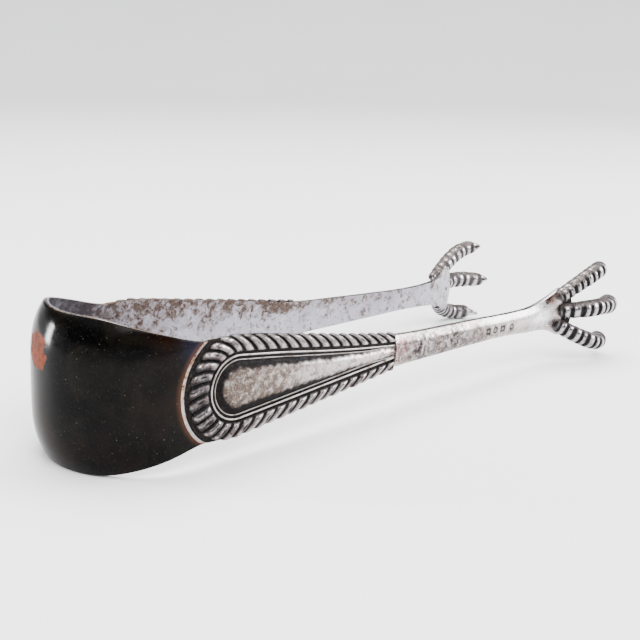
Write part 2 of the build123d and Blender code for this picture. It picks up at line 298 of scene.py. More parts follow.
# ---- materials -----------------------------------------------------------------------
class Nodes:
    """Small helper round one material's node tree."""

    def __init__(self, name):
        self.material = bpy.data.materials.new(name)
        self.material.use_nodes = True
        self.tree = self.material.node_tree
        self.tree.nodes.clear()
        self.output = self.add("ShaderNodeOutputMaterial")
        self.shader = self.add("ShaderNodeBsdfPrincipled")
        self.link(self.shader.outputs[0], self.output.inputs["Surface"])
        self.place = self.add("ShaderNodeTexCoord").outputs["Object"]

    def add(self, kind, **settings):
        node = self.tree.nodes.new(kind)
        for key, value in settings.items():
            setattr(node, key, value)
        return node

    def link(self, source, target):
        self.tree.links.new(source, target)

    def put(self, socket, value):
        """Sets a socket to a number or a colour, or links another socket to it."""
        if isinstance(value, (int, float)):
            socket.default_value = value
        elif isinstance(value, tuple):
            socket.default_value = (*value, 1)
        else:
            self.link(value, socket)

    def stretched(self, scale, shift=(0, 0, 0)):
        node = self.add("ShaderNodeMapping")
        node.inputs["Scale"].default_value = scale
        node.inputs["Location"].default_value = shift
        self.link(self.place, node.inputs["Vector"])
        return node.outputs["Vector"]

    def noise(self, scale, detail=4.0, rough=0.55, distortion=0.0, place=None):
        node = self.add("ShaderNodeTexNoise")
        node.inputs["Scale"].default_value = scale
        node.inputs["Detail"].default_value = detail
        node.inputs["Roughness"].default_value = rough
        node.inputs["Distortion"].default_value = distortion
        self.link(place or self.place, node.inputs["Vector"])
        return node.outputs["Fac"]

    def ramp(self, value, low, high):
        node = self.add("ShaderNodeMapRange", interpolation_type="SMOOTHSTEP")
        node.inputs["From Min"].default_value = low
        node.inputs["From Max"].default_value = high
        self.link(value, node.inputs["Value"])
        return node.outputs["Result"]

    def maths(self, operation, a, b=None):
        node = self.add("ShaderNodeMath", operation=operation)
        self.put(node.inputs[0], a)
        if b is not None:
            self.put(node.inputs[1], b)
        return node.outputs[0]

    def times(self, a, b):
        return self.maths("MULTIPLY", a, b)

    def mix(self, factor, a, b):
        """Colour between a and b."""
        node = self.add("ShaderNodeMix", data_type="RGBA")
        for slot, value in ((0, factor), (6, a), (7, b)):
            self.put(node.inputs[slot], value)
        return node.outputs[2]

    def blend(self, factor, a, b):
        """Number between a and b."""
        node = self.add("ShaderNodeMix", data_type="FLOAT")
        for slot, value in ((0, factor), (2, a), (3, b)):
            self.put(node.inputs[slot], value)
        return node.outputs[0]

    def attribute(self, name):
        return self.add("ShaderNodeAttribute", attribute_name=name).outputs["Fac"]

    def folded(self):
        """Place with the left side folded onto the right one."""
        split = self.add("ShaderNodeSeparateXYZ")
        joined = self.add("ShaderNodeCombineXYZ")
        self.link(self.place, split.inputs[0])
        across = self.times(self.maths("ABSOLUTE", split.outputs["Y"]), -1.0)
        self.link(split.outputs["X"], joined.inputs["X"])
        self.link(across, joined.inputs["Y"])
        self.link(split.outputs["Z"], joined.inputs["Z"])
        return joined.outputs[0]

    def spot(self, centre, radius, soft=0.4, place=None):
        """1 inside a ball about a mid-plane point, fading to 0 at its edge."""
        node = self.add("ShaderNodeVectorMath", operation="DISTANCE")
        self.link(place or self.place, node.inputs[0])
        node.inputs[1].default_value = tuple(laid(centre))
        return self.ramp(self.maths("DIVIDE", node.outputs["Value"], radius * MM), 1.0, soft)

    def bump(self, height, strength, distance):
        node = self.add("ShaderNodeBump")
        node.inputs["Strength"].default_value = strength
        node.inputs["Distance"].default_value = distance * MM
        self.link(height, node.inputs["Height"])
        self.link(node.outputs["Normal"], self.shader.inputs["Normal"])

    def finish(self, colour, rough, metal):
        for value, name in ((colour, "Base Color"), (rough, "Roughness"), (metal, "Metallic")):
            self.put(self.shader.inputs[name], value)
        return self.material


SPECK = (0.030, 0.020, 0.018)
NEAR_BLACK = (0.0016, 0.0013, 0.0017)


def scaled(colour, by):
    return tuple(c * k for c, k in zip(colour, by))


def silver(name, light, tarnish, rough, blotch, spread, extra=None):
    """Old silver. Attributes on the mesh, both 0 to 1, say where it is dark, blackened in its
    hollows and on the border's lobes also darkened as painted shade, and where the brown
    tarnish is thickest ("age"; on the arms it is kept low along the upper edge, partly as a
    painted highlight). blotch is the scale of the tarnish, spread how far it reaches, and
    extra adds local marks: stains, painted shade and a painted highlight."""
    n = Nodes(name)
    age = n.attribute("age")
    broad = n.noise(blotch, 8, 0.74, 0.35)
    fine = n.noise(blotch * 4.0, 5, 0.68, 0.2)
    veil = n.noise(blotch * 0.32, 3, 0.5, 0.4, n.stretched((1, 1, 1), (0.3, 0.1, 0.7)))
    lifted = n.maths("ADD", broad, n.times(age, 0.20))
    film = n.ramp(n.maths("ADD", veil, n.times(age, 0.25)), 0.38, 0.85)
    brown = n.ramp(lifted, 0.68 - 0.10 * spread, 0.77 - 0.08 * spread)
    halo = n.ramp(lifted, 0.60 - 0.10 * spread, 0.72 - 0.08 * spread)
    speck = n.times(n.ramp(fine, 0.52, 0.62), n.ramp(lifted, 0.50, 0.68))
    colour = n.mix(n.times(film, 0.45), light, scaled(light, (0.62, 0.56, 0.55)))
    colour = n.mix(n.times(halo, 0.55), colour, scaled(tarnish, (1.7, 1.6, 1.35)))
    colour = n.mix(n.times(brown, 0.80), colour, tarnish)
    colour = n.mix(n.times(speck, 0.85), colour, SPECK)
    if extra:
        colour = extra(n, colour)
    shine = n.blend(n.ramp(n.noise(blotch * 1.7, 4), 0.3, 0.7), rough[0], rough[1])
    shine = n.blend(brown, shine, rough[1] + 0.18)
    # near black where the mesh is blackened, and where it carries painted shade
    dark = n.attribute("recess_and_shade")
    uneven = n.times(dark, n.blend(n.ramp(fine, 0.35, 0.65), 0.95, 1.0))
    colour = n.mix(uneven, colour, NEAR_BLACK)
    shine = n.blend(dark, shine, 0.55)
    bare = n.times(n.blend(uneven, 1.0, 0.0), n.blend(brown, 1.0, 0.45))
    n.shader.inputs["Specular IOR Level"].default_value = 0.05
    scratches = n.noise(900, 2, 0.6, 0, n.stretched((1, 0.15, 0.25)))
    relief = n.maths("ADD", n.times(scratches, 0.5), n.maths("ADD", broad, fine))
    n.bump(relief, 0.16, 0.10)
    return n.finish(colour, shine, bare)


def tinted_spot(n, colour, centre, radius, tint, amount, soft=0.2):
    """A mottled patch of one colour round one place on each side. It paints real stains, and
    also painted shade on the round-end lobes and a painted highlight on the palm.
    """
    patch = n.spot(centre, radius, soft, n.folded())
    mottled = n.blend(n.ramp(n.noise(700, 6, 0.72, 0.3), 0.40, 0.58), 0.28, 1.0)
    return n.mix(n.times(n.times(patch, mottled), amount), colour, tint)


def inner_shade(n, colour):
    """Painted shade: the inside of the bow's bend is darkened to a dark grey, most near its back.
    """
    shade = n.spot((3.0, 3.0, 10.0), 36.0, 0.60)
    return n.mix(n.times(shade, 0.88), colour, (0.026, 0.025, 0.031))


def end_shade(n, colour):
    """Painted shade: the lobes at the round end are darkened with a mottled dark grey."""
    return tinted_spot(n, colour, (25.0, -20.9, -1.0), 13.0, (0.050, 0.040, 0.043), 0.80, 0.35)


# centre (on the right arm), radius, colour and strength, from the panel out to the palm;
# the pale one on the palm is a painted highlight, the others are stains
ARM_STAINS_AND_HIGHLIGHT = (
    ((36.0, -20.9, -1.0), 12.0, (0.060, 0.047, 0.036), 0.95),
    ((47.0, -20.9, -1.5), 10.0, (0.085, 0.066, 0.054), 0.85),
    ((59.0, -20.4, -1.6), 8.0, (0.15, 0.125, 0.112), 0.40),
    ((87.0, -20.2, 0.8), 6.0, (0.14, 0.065, 0.065), 0.90),
    ((95.0, -19.8, -1.4), 10.0, (0.022, 0.015, 0.014), 1.0),
    ((107.0, -19.9, -1.8), 10.5, (0.024, 0.016, 0.015), 1.0),
    ((117.0, -20.0, -1.2), 7.0, (0.07, 0.049, 0.044), 0.9),
    # painted highlight: a pale, nearly white spot in the middle of the palm
    ((142.5, -21.2, 0.3), 5.2, (0.86, 0.85, 0.88), 0.95),
    ((146.4, -21.9, 5.9), 3.0, (0.26, 0.080, 0.030), 1.0),
    ((149.4, -22.6, 7.3), 3.2, (0.40, 0.15, 0.06), 1.0),
    ((149.5, -22.6, 0.8), 5.0, (0.16, 0.13, 0.125), 0.85),
)


# the arm's stains, and the painted highlight on the palm
def arm_stains_and_highlight(n, colour):
    for centre, radius, tint, amount in ARM_STAINS_AND_HIGHLIGHT:
        colour = tinted_spot(n, colour, centre, radius, tint, amount)
    return colour


def black_coat():
    """Black lacquer or patina over the bow: brown-green mottling, pale specks, a painted
    blue-grey sheen by the right seam, and an orange patch at the back where the coat has gone."""
    n = Nodes("bow_black_coat")
    mottle = n.ramp(n.noise(95, 6, 0.68, 0.5), 0.42, 0.70)
    warm = n.ramp(n.noise(45, 4, 0.6, 0.3), 0.45, 0.68)
    grain = n.ramp(n.noise(1500, 3, 0.7), 0.55, 0.78)
    fleck = n.ramp(n.noise(2600, 1, 0.5), 0.735, 0.79)
    colour = n.mix(mottle, (0.0008, 0.0008, 0.0009), (0.0050, 0.0042, 0.0030))
    colour = n.mix(n.times(warm, 0.7), colour, (0.0095, 0.0034, 0.0018))
    colour = n.mix(n.times(grain, 0.40), colour, (0.022, 0.018, 0.013))
    colour = n.mix(n.times(fleck, 0.22), colour, (0.26, 0.23, 0.19))
    # painted sheen: a blue-grey tint on the upper coat next to the right seam
    blue_sheen = n.spot((25.0, -20.6, 10.0), 7.0, 0.0)
    colour = n.mix(n.times(blue_sheen, 0.45), colour, (0.010, 0.012, 0.030))
    seam = n.ramp(n.attribute("seam"), 0.35, 1.0)
    colour = n.mix(n.times(seam, 0.5), colour, (0.09, 0.036, 0.018))
    patch = n.spot((0.6, 3.4, 8.2), 8.6, 0.0)
    ragged = n.maths("SUBTRACT", patch, n.times(n.noise(300, 5, 0.66, 0.8), 1.25))
    bare = n.ramp(ragged, -0.10, -0.08)
    worn = n.ramp(n.noise(900, 4), 0.45, 0.62)
    flaked = n.mix(worn, (0.115, 0.020, 0.004), (0.050, 0.009, 0.003))
    flaked = n.mix(n.ramp(n.noise(1500, 2), 0.66, 0.70), flaked, (0.02, 0.005, 0.004))
    colour = n.mix(bare, colour, flaked)
    n.shader.inputs["Specular IOR Level"].default_value = 0.055
    relief = n.maths("SUBTRACT", n.times(n.noise(500, 3), 0.2), bare)
    n.bump(relief, 0.10, 0.25)
    shine = n.blend(n.ramp(n.noise(300, 4), 0.3, 0.7), 0.10, 0.20)
    shine = n.blend(bare, shine, 0.6)
    return n.finish(colour, shine, 0.0)


# each silver: its light colour and tarnish, then roughness range, blotch scale and spread
MATERIALS = {
    "coat": black_coat(),
    "inner": silver(
        "inner_silver", (0.36, 0.35, 0.39), (0.060, 0.036, 0.022),
        (0.24, 0.42), 420, 0.42, inner_shade,
    ),
    "rim": silver(
        "rim_silver", (0.33, 0.31, 0.31), (0.17, 0.095, 0.055),
        (0.18, 0.30), 240, 0.7,
    ),
    "arm": silver(
        "arm_silver", (0.50, 0.465, 0.445), (0.105, 0.068, 0.056),
        (0.17, 0.34), 620, 0.62, arm_stains_and_highlight,
    ),
    "lobes": silver(
        "border_silver", (0.44, 0.40, 0.40), (0.075, 0.052, 0.05),
        (0.10, 0.20), 620, 0.6, end_shade,
    ),
    "rail": silver(
        "rail_silver", (0.36, 0.34, 0.32), (0.13, 0.10, 0.08),
        (0.18, 0.30), 520, 0.6,
    ),
    "toe": silver(
        "toe_silver", (0.44, 0.42, 0.435), (0.080, 0.062, 0.058),
        (0.12, 0.22), 700, 0.6,
    ),
    "talon": silver(
        "talon_silver", (0.68, 0.66, 0.65), (0.24, 0.17, 0.13),
        (0.12, 0.24), 420, 0.3,
    ),
}


# ---- spring bow ----------------------------------------------------------------------
BOW_OUTLINE_X = (-2.0, 3.0, 6.0, 8.5, 12.0, 18.0, 24.0, 26.5, 28.5)
BOW_OUTLINE_HALF = (17.0, 17.0, 16.95, 16.35, 15.25, 13.45, 11.75, 11.25, 11.14)
ARC_END = math.pi / 2 + DRIFT
BEND_END_Y = 19.0  # a point this far out on each side is worked out for the bow, but not used


def bow_half_width(x):
    return through(BOW_OUTLINE_X, BOW_OUTLINE_HALF, x)


def crown_at(z):
    return CROWN * (np.abs(z) / BOW_HALF) ** CROWN_POWER


def bow_point(run, z, depth):
    """Point at arc length run along the bow, height z, depth below the outer face."""
    inward = crown_at(z) + depth
    arc = np.minimum(run, BOW_RADIUS * ARC_END) / BOW_RADIUS
    straight = np.maximum(run - BOW_RADIUS * ARC_END, 0)
    radius = BOW_RADIUS - inward
    x = BOW_RADIUS - radius * np.cos(arc) + straight * math.cos(DRIFT)
    y = radius * np.sin(arc) - straight * math.sin(DRIFT)
    return x, y


def seam_x(z):
    """Where the curved seam between bow and arm lies, at height z."""
    return SEAM_CENTRE_X - np.sqrt(SEAM_RADIUS**2 - np.clip(z, -SEAM_HALF, SEAM_HALF) ** 2)


def bow_half(side):
    """One half of the bow, from the middle of its back to the bevel at the seam."""
    around, lengthwise, bevel_rows = 49, 150, 9
    bevel, bevel_fall, bevel_swell = 1.05, 0.62, 0.22
    crowding = 0.93  # rows lie closer together towards the two edges
    settle = 12  # rounds for width and place along the bow to agree
    v = np.sin(np.linspace(-1, 1, around) * math.pi / 2 * crowding)
    v = v / math.sin(math.pi / 2 * crowding)
    end_x = np.full(around, 24.0)
    for _ in range(settle):
        end_x = seam_x(v * bow_half_width(end_x))
    arc_x = bow_point(BOW_RADIUS * ARC_END, v * 0, 0)[0]
    end_run = BOW_RADIUS * ARC_END + (end_x - arc_x) / math.cos(DRIFT)
    way = np.linspace(0, 1, lengthwise)[:, None]
    run = way * (end_run[None, :] - bevel)
    turn = np.linspace(0, math.pi / 2, bevel_rows)[:, None]
    run = np.concatenate([run, end_run[None, :] - bevel * (1 - np.sin(turn))])
    swell = bevel_swell * np.sin(np.clip(turn * 1.35, 0, math.pi))
    fall = (bevel_fall * (1 - np.cos(turn)) - swell)[:, 0]
    drop = np.concatenate([np.zeros(lengthwise), fall])[:, None]
    z = v[None, :] * BOW_HALF * np.ones_like(run)
    for _ in range(settle):
        x = bow_point(run, z, 0)[0]
        z = v[None, :] * bow_half_width(x)
    x_out, y_out = bow_point(run, z, drop)
    x_in, y_in = bow_point(run, z, BOW_THICK)
    outer = np.stack([x_out, y_out, z], -1)
    inner = np.stack([x_in, y_in, z], -1)
    # the two edges are rounded: a middle line stands out and the corners draw in
    edge_out, edge_in = 0.10, 0.16
    top_mid = (outer[:, -1:] + inner[:, -1:]) / 2 + [0, 0, edge_out]
    low_mid = (outer[:, :1] + inner[:, :1]) / 2 - [0, 0, edge_out]
    low_mid[..., 2] = np.maximum(low_mid[..., 2], outer[:, :1, 2].min())
    outer_rim, inner_rim = outer.copy(), inner.copy()
    for edge in (0, -1):
        outer_rim[:, edge] = outer[:, edge] * (1 - edge_in) + inner[:, edge] * edge_in
        inner_rim[:, edge] = inner[:, edge] * (1 - edge_in) + outer[:, edge] * edge_in
    rows = np.concatenate([outer_rim, top_mid, inner_rim[:, ::-1], low_mid], axis=1)
    total = len(rows)
    up = np.broadcast_to(v[None, :], (total, around))
    # tarnish: least inside the bend, most towards the upper edges; warm near the seam
    age_in = 0.10 + (0.15 + 0.75 * smooth(0.0, 0.85, up)) * smooth(12.0, 34.0, run)
    seam_near = smooth(-4.5, 0.0, run - end_run[None, :])
    age_out = np.broadcast_to(0.2 + 0.6 * smooth(-0.2, 0.9, v)[None, :], (total, around))
    zero = np.zeros((total, 1))
    age = np.concatenate([age_out, zero + 0.3, age_in[:, ::-1], zero + 0.2], axis=1)
    seam = np.concatenate([seam_near, zero, seam_near[:, ::-1] * 0, zero], axis=1)
    bevel_foot = smooth(0.55, 1.0, turn[:, 0] / (math.pi / 2))
    foot = np.concatenate([np.zeros(lengthwise), bevel_foot])[:, None]
    recess_and_shade = np.concatenate([foot + 0 * up, zero, 0 * up, zero], axis=1)
    bands = [0] * (around - 1) + [1, 1] + [2] * (around - 1) + [1, 1]

    def own(i, k):
        """The bevel is bare metal, like the rim."""
        return 1 if i >= lengthwise - 1 and bands[k] == 0 else bands[k]

    obj = loop_mesh(
        side_name(side) + "_bow_half",
        rows,
        [MATERIALS["coat"], MATERIALS["rim"], MATERIALS["inner"]],
        bands,
        {"age": age, "seam": seam, "recess_and_shade": recess_and_shade},
        side,
        sharp=55,
        own=own,
    )
    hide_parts("spring_bow")
    start = laid((BOW_RADIUS, 0, 0))
    end = laid((BOW_RADIUS, side * BEND_END_Y, 0))
    side_name(side) + "_side"
    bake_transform(obj)


# ---- arms ----------------------------------------------------------------------------
ARM_START_X = 20.9
SEAM_BLEND_X = 28.0  # up to here the mesh rows lean over to follow the seam
PUNCHES = ((121.0, 0.95), (123.9, 0.95), (127.0, 1.05), (130.8, 0.85))  # place, half width
PUNCH_Z = -0.4
PUNCH_HALF = 0.95


def punches(x, z):
    """Depth of, and dirt in, a row of four small plain punched marks with no lettering."""
    depth = np.zeros_like(x)
    dirt = np.zeros_like(x)
    for number, (centre, half) in enumerate(PUNCHES):
        a, b = np.abs(x - centre) / half, np.abs(z - PUNCH_Z) / PUNCH_HALF
        outline = np.maximum(a, b)
        middle = a + b
        if number % 2:  # every other punch has cut corners and a round middle
            outline = np.maximum(outline, (a + b) / 1.45)
            middle = np.hypot(a, b)
        inside = 1 - smooth(0.90, 1.08, outline)
        device = 1 - smooth(0.45, 0.62, middle)
        depth += inside * (0.24 - 0.17 * device)
        dirt += inside * (0.72 - 0.42 * device) + 0.18 * (1 - smooth(1.0, 1.9, outline))
    return depth, np.clip(dirt, 0, 1)


def arm_outer(x, z):
    """Outer face of the arm: the domed panel, and a low ridge on the bare arm after it."""
    base = arm_base(x, z)
    inside = -drop_distance(DROP_PANEL, x, z)
    rise = through([20, 60, 85, 120, 153], [PANEL_RISE, 0.9, 0.72, 0.3, 0.0], x)
    dome = rise * np.sin(np.clip((inside + 0.45) / 3.0, 0, 1) * math.pi / 2) ** 0.9
    u = np.clip(np.abs(z) / arm_half(x), 0, 1)
    full = rise * (1 - 0.75 * u**2.4)
    return base + np.where(x < BORDER_END_X + 0.02, dome, full)


def arm_recess(x, z):
    """The blackened ground round the panel, with a ragged inner edge."""
    inside = -drop_distance(DROP_PANEL, x, z)
    ragged = 0.20 * np.sin(x * 0.9 + z) * np.cos(z * 1.7 + 0.4 * x) + 0.12 * np.sin(2.9 * x)
    edge = np.interp(x, [30, 50, 70, 85], [1.15, 1.0, 0.40, -0.45])
    dark = 1 - smooth(-0.55, 0.55, inside + ragged - edge)
    return np.where(x < BORDER_END_X + 0.02, dark, 0.0)


def raised(points, side, part="arm", start=137.0, end=151.0):
    """The right claw and the end of its arm, bent up a little between start and end."""
    lift = RAISE[part] * smooth(start, end, points[..., 0]) * (side < 0)
    return points + np.stack([0 * lift, 0 * lift, lift], -1)


def arm(side):
    across = 81
    u = np.linspace(-1, 1, across)
    # rows are closest at the border's square end and over the punches
    xs = np.concatenate([
        np.linspace(ARM_START_X, SEAM_BLEND_X, 40),
        np.linspace(SEAM_BLEND_X + 0.3, BORDER_END_X, 190),
        [BORDER_END_X + 0.06],
        np.linspace(BORDER_END_X + 0.4, 118.5, 90),
        np.linspace(118.7, 133.0, 120),
        np.linspace(133.4, PALM_X, 60),
    ])
    x = np.repeat(xs[:, None], across, 1)
    z = u * arm_half(x)
    way = np.clip((SEAM_BLEND_X - x) / (SEAM_BLEND_X - ARM_START_X), 0, 1)
    x = np.where(x < SEAM_BLEND_X, SEAM_BLEND_X + (seam_x(z) - SEAM_BLEND_X) * way, x)
    y_out = arm_outer(x, z)
    y_in = arm_inner(x, z)
    dark = arm_recess(x, z)
    x = x - 0.030 * z**2 * smooth(147.0, PALM_X, x)  # the palm ends in a curve
    behind_toes = smooth(149.6, 150.4, x + 0.012 * z**2)
    dark = np.maximum(dark, 0.97 * behind_toes)
    if side < 0:
        depth, dirt = punches(x, z)
        y_out = y_out - depth
        dark = np.maximum(dark, dirt)
    outer = np.stack([x, y_out, z], -1)
    inner = np.stack([x, y_in, z], -1)
    # tarnish: more towards the bow and the lower edge, less along the upper edge; part of that
    # lighter upper edge is a painted highlight
    age_out = 0.30 + 0.45 * smooth(62, 38, x) + 0.30 * smooth(0.2, -0.8, u)[None, :]
    age_out = age_out - 0.35 * smooth(112, 140, x)
    age_in = 0.30 + 0.65 * smooth(0.0, 0.9, u)[None, :] * (1 - 0.8 * smooth(70, 125, x)) + 0 * x
    edge_out = [0, 0, 0.12]
    mid_top = (outer[:, -1:] + inner[:, -1:]) / 2 + edge_out
    mid_low = (outer[:, :1] + inner[:, :1]) / 2 - edge_out
    rows = np.concatenate([outer, mid_top, inner[:, ::-1], mid_low], axis=1)
    # a last row, drawn in towards the middle, rounds the palm off
    middle = (outer[-1].mean(0) + inner[-1].mean(0)) / 2
    last = rows[-1:] * [1, 0.7, 0.985] + middle * [0, 0.3, 0.015] + [0.35, 0, 0]
    rows = raised(np.concatenate([rows, last]), side)
    recess_and_shade = np.concatenate([dark, dark[:, -1:], dark * 0, dark[:, :1] * 0], axis=1)
    recess_and_shade = np.concatenate([recess_and_shade, recess_and_shade[-1:]])
    age = np.concatenate([age_out, age_out[:, -1:], age_in[:, ::-1], age_out[:, :1]], axis=1)
    age = np.concatenate([age, age[-1:]])
    bands = [0] * (across - 1) + [1, 1] + [2] * (across - 1) + [1, 1]
    obj = loop_mesh(
        side_name(side) + "_arm_visual",
        rows,
        [MATERIALS["arm"], MATERIALS["rim"], MATERIALS["inner"]],
        bands,
        {"recess_and_shade": recess_and_shade, "age": age},
        side,
        sharp=45,
    )
    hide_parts(side_name(side) + "_arm")
    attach(obj, side_name(side) + "_side")


# ---- gadroon border ------------------------------------------------------------------
def lobe_count(q):
    """How many lobes lie before place q on the hairpin."""
    side_part = LOBES_SIDE * np.clip(q, 0, 1) + LOBES_SIDE * np.clip(q - 2, 0, 1)
    return side_part + LOBES_ROUND * np.clip(q - 1, 0, 1)


def gadroon(side):
    """The border as one ribbon of lobes round the hairpin: q runs along it, t across."""
    per_lobe = 24
    q = np.concatenate([
        np.linspace(0, 1, LOBES_SIDE * per_lobe, endpoint=False),
        np.linspace(1, 2, LOBES_ROUND * per_lobe, endpoint=False),
        np.linspace(2, 3, LOBES_SIDE * per_lobe + 1),
    ])[:, None]
    t = np.linspace(0, 1, 26)[None, :]
    xi, zi = hairpin(DROP_BAND_IN, q)
    xo, zo = hairpin(DROP_LOBES, q)
    x = xi + (xo - xi) * t
    z = zi + (zo - zi) * t
    lean = np.interp(q, [0, 0.9, 1.25, 1.5, 1.8, 2.1, 3], [-1, -1, -0.3, 0.5, 1.0, 1, 1])
    phase = lobe_count(q) + lean * (0.22 * (t - 0.5) + 0.62 * (t**2 - 0.33))
    number = np.floor(phase)
    p = phase - number
    varied = 1 + 0.10 * np.sin(number * 2.7) + 0.06 * np.sin(number * 5.1 + side)
    hollow = np.exp(-(((p - 0.50) / 0.17) ** 2) - ((t - 0.52) / 0.27) ** 2) * (number % 2 == 0)
    # each lobe leans over: its crest lies nearer one side, so it catches light on one flank
    lopsided = p + 0.10 * np.sign(lean) * np.sin(math.pi * p)
    ridge = np.clip(1 - np.abs(2 * np.clip(lopsided, 0, 1) - 1) ** 2.0, 0, 1) ** 0.70
    belly = np.clip(1 - np.abs(2 * t - 1) ** 4, 0, 1) ** 0.5
    height = 0.04 + 1.12 * ridge * belly * varied * (0.78 + 0.22 * t) * (1 - 0.42 * hollow)
    reach = 0.55 * (ridge - 0.55) * smooth(0.45, 1.0, t)
    out_x, out_z = xo - xi, zo - zi
    length = np.hypot(out_x, out_z)
    x = x + out_x / length * reach
    z = z + out_z / length * reach
    # the hairpin's two ends are cut off square
    x = np.where((q < 0.02) | (q > 2.98), np.minimum(x, BORDER_END_X), x)
    y = arm_base(x, z) + height
    top = np.stack([x, y, z], -1)
    # black in the creases, at each lobe's foot and in the hollows; the black also reaches wide
    # up the lobes' sides and covers one flank of each lobe, and that part is painted shade
    flank_shade = smooth(0.66, 0.34, lopsided) * np.interp(t, [0, 0.15, 0.35, 1], [0.0, 0.25, 0.85, 0.9])
    flank_shade = flank_shade * (0.62 + 0.38 * smooth(1.0, 0.8, np.abs(lean)))
    crease = np.maximum(1 - smooth(0.55, 0.97, ridge), flank_shade)
    foot = 1 - smooth(0.0, 0.12, t) + smooth(0.95, 1.0, t) * 0.5
    pooled = np.clip(1.25 * hollow - 0.15 + 0.25 * np.sin(number * 3.3) * hollow, 0, 0.95)
    dark = np.clip(np.maximum(np.maximum(crease, foot), pooled), 0, 1)
    low_out = top[:, -1:] - [0, 0.95, 0]
    low_in = top[:, :1] - [0, 0.45, 0]
    rows = np.concatenate([top, low_out, low_in], axis=1)
    recess_and_shade = np.concatenate([dark, dark[:, -1:], dark[:, :1]], axis=1)
    age = 0.30 + 0.25 * smooth(52, 30, rows[..., 0])
    obj = loop_mesh(
        side_name(side) + "_gadroon_lobes",
        rows,
        [MATERIALS["lobes"]],
        [0] * rows.shape[1],
        {"recess_and_shade": recess_and_shade, "age": age},
        side,
        sharp=75,
    )
    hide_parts(side_name(side) + "_gadroon_border")
    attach(obj, side_name(side) + "_side")


WIRE_AROUND = 12
# the two lines of the rail: inset from the outline, radius and height of its centre
RAIL_LINES = ((0.0, 0.21, 0.13), (0.98, 0.12, 0.05))


def hairpin_wire(drop, inset, radius, lift):
    """Rows of a thin half-sunk wire along a teardrop outline, inset from it."""
    q = np.concatenate([
        np.linspace(0, 1, 90, endpoint=False),
        np.linspace(1, 2, 90, endpoint=False),
        np.linspace(2, 3, 91),
    ])
    x0, z0 = hairpin(drop, q)
    along = np.stack([np.gradient(x0), np.gradient(z0)], -1)
    along /= np.linalg.norm(along, axis=1)[:, None]
    out = np.stack([along[:, 1], -along[:, 0]], -1)
    to_centre = np.sign((34.0 - x0) * out[:, 0] - z0 * out[:, 1])
    # the inset narrows towards the hairpin's two ends, where the panel does
    fade = smooth(0.0, 0.22, q) * smooth(3.0, 2.78, q)
    shift = inset * (0.35 + 0.65 * fade) * to_centre
    x0, z0 = x0 + out[:, 0] * shift, z0 + out[:, 1] * shift
    ring = np.arange(WIRE_AROUND) / WIRE_AROUND * 2 * math.pi
    thick = radius * (1 + 0.06 * np.sin(q * 21.0) + 0.05 * np.sin(q * 47.0))
    flat = 1.15  # a little wider than high
    x = x0[:, None] + out[:, :1] * np.cos(ring) * thick[:, None] * flat
    z = z0[:, None] + out[:, 1:] * np.cos(ring) * thick[:, None] * flat
    y = arm_outer(x0, z0)[:, None] + lift + np.sin(ring) * thick[:, None]
    return np.stack([x, y, z], -1)


def rail(side):
    """The main line and a finer one inside it, dark along their feet."""
    which = side_name(side)
    low = 1 - smooth(-0.2, 0.75, np.sin(np.arange(WIRE_AROUND) / WIRE_AROUND * 2 * math.pi))
    for number, (inset, radius, lift) in enumerate(RAIL_LINES):
        rows = hairpin_wire(DROP_RAIL, inset, radius, lift)
        age = np.full(rows.shape[:2], 0.35)
        recess_and_shade = np.clip(low[None, :] + 0.25 * number + 0 * age, 0, 1)
        obj = loop_mesh(
            f"{which}_bead_line_{number}", rows, [MATERIALS["rail"]], [0] * WIRE_AROUND,
            {"age": age, "recess_and_shade": recess_and_shade}, side, sharp=80,
        )
        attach(obj, which + "_side")
    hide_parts(which + "_bead_rail")


# ---- claws ---------------------------------------------------------------------------
def curve_through(points, t):
    """Parabola through three points, at t 0, 1/2 and 1."""
    a, b, c = (np.array(p, float) for p in points)
    t = np.asarray(t, float)[:, None]
    return a * (2 * (t - 0.5) * (t - 1)) + b * (4 * t * (1 - t)) + c * (2 * t * (t - 0.5))


def tube(side, node, centres, radii, material, attributes):
    """Tube along centres that stands in for a CAD node; radii[i, k] may vary round it,
    and the end closes at radius 0."""
    direction = np.gradient(centres, axis=0)
    direction /= np.linalg.norm(direction, axis=1)[:, None]
    out = np.array([0.0, 1.0, 0.0])
    across = np.cross(direction, out)
    across /= np.linalg.norm(across, axis=1)[:, None]
    normal = np.cross(across, direction)
    around = radii.shape[1]
    ring = np.arange(around) / around * 2 * math.pi
    rows = (
        centres[:, None, :]
        + normal[:, None, :] * (np.cos(ring) * radii)[..., None]
        + across[:, None, :] * (np.sin(ring) * radii)[..., None]
    )
    obj = loop_mesh(
        node + "_visual", rows, [MATERIALS[material]], [0] * around, attributes, side, sharp=80
    )
    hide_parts(node)
    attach(obj, side_name(side) + "_side")


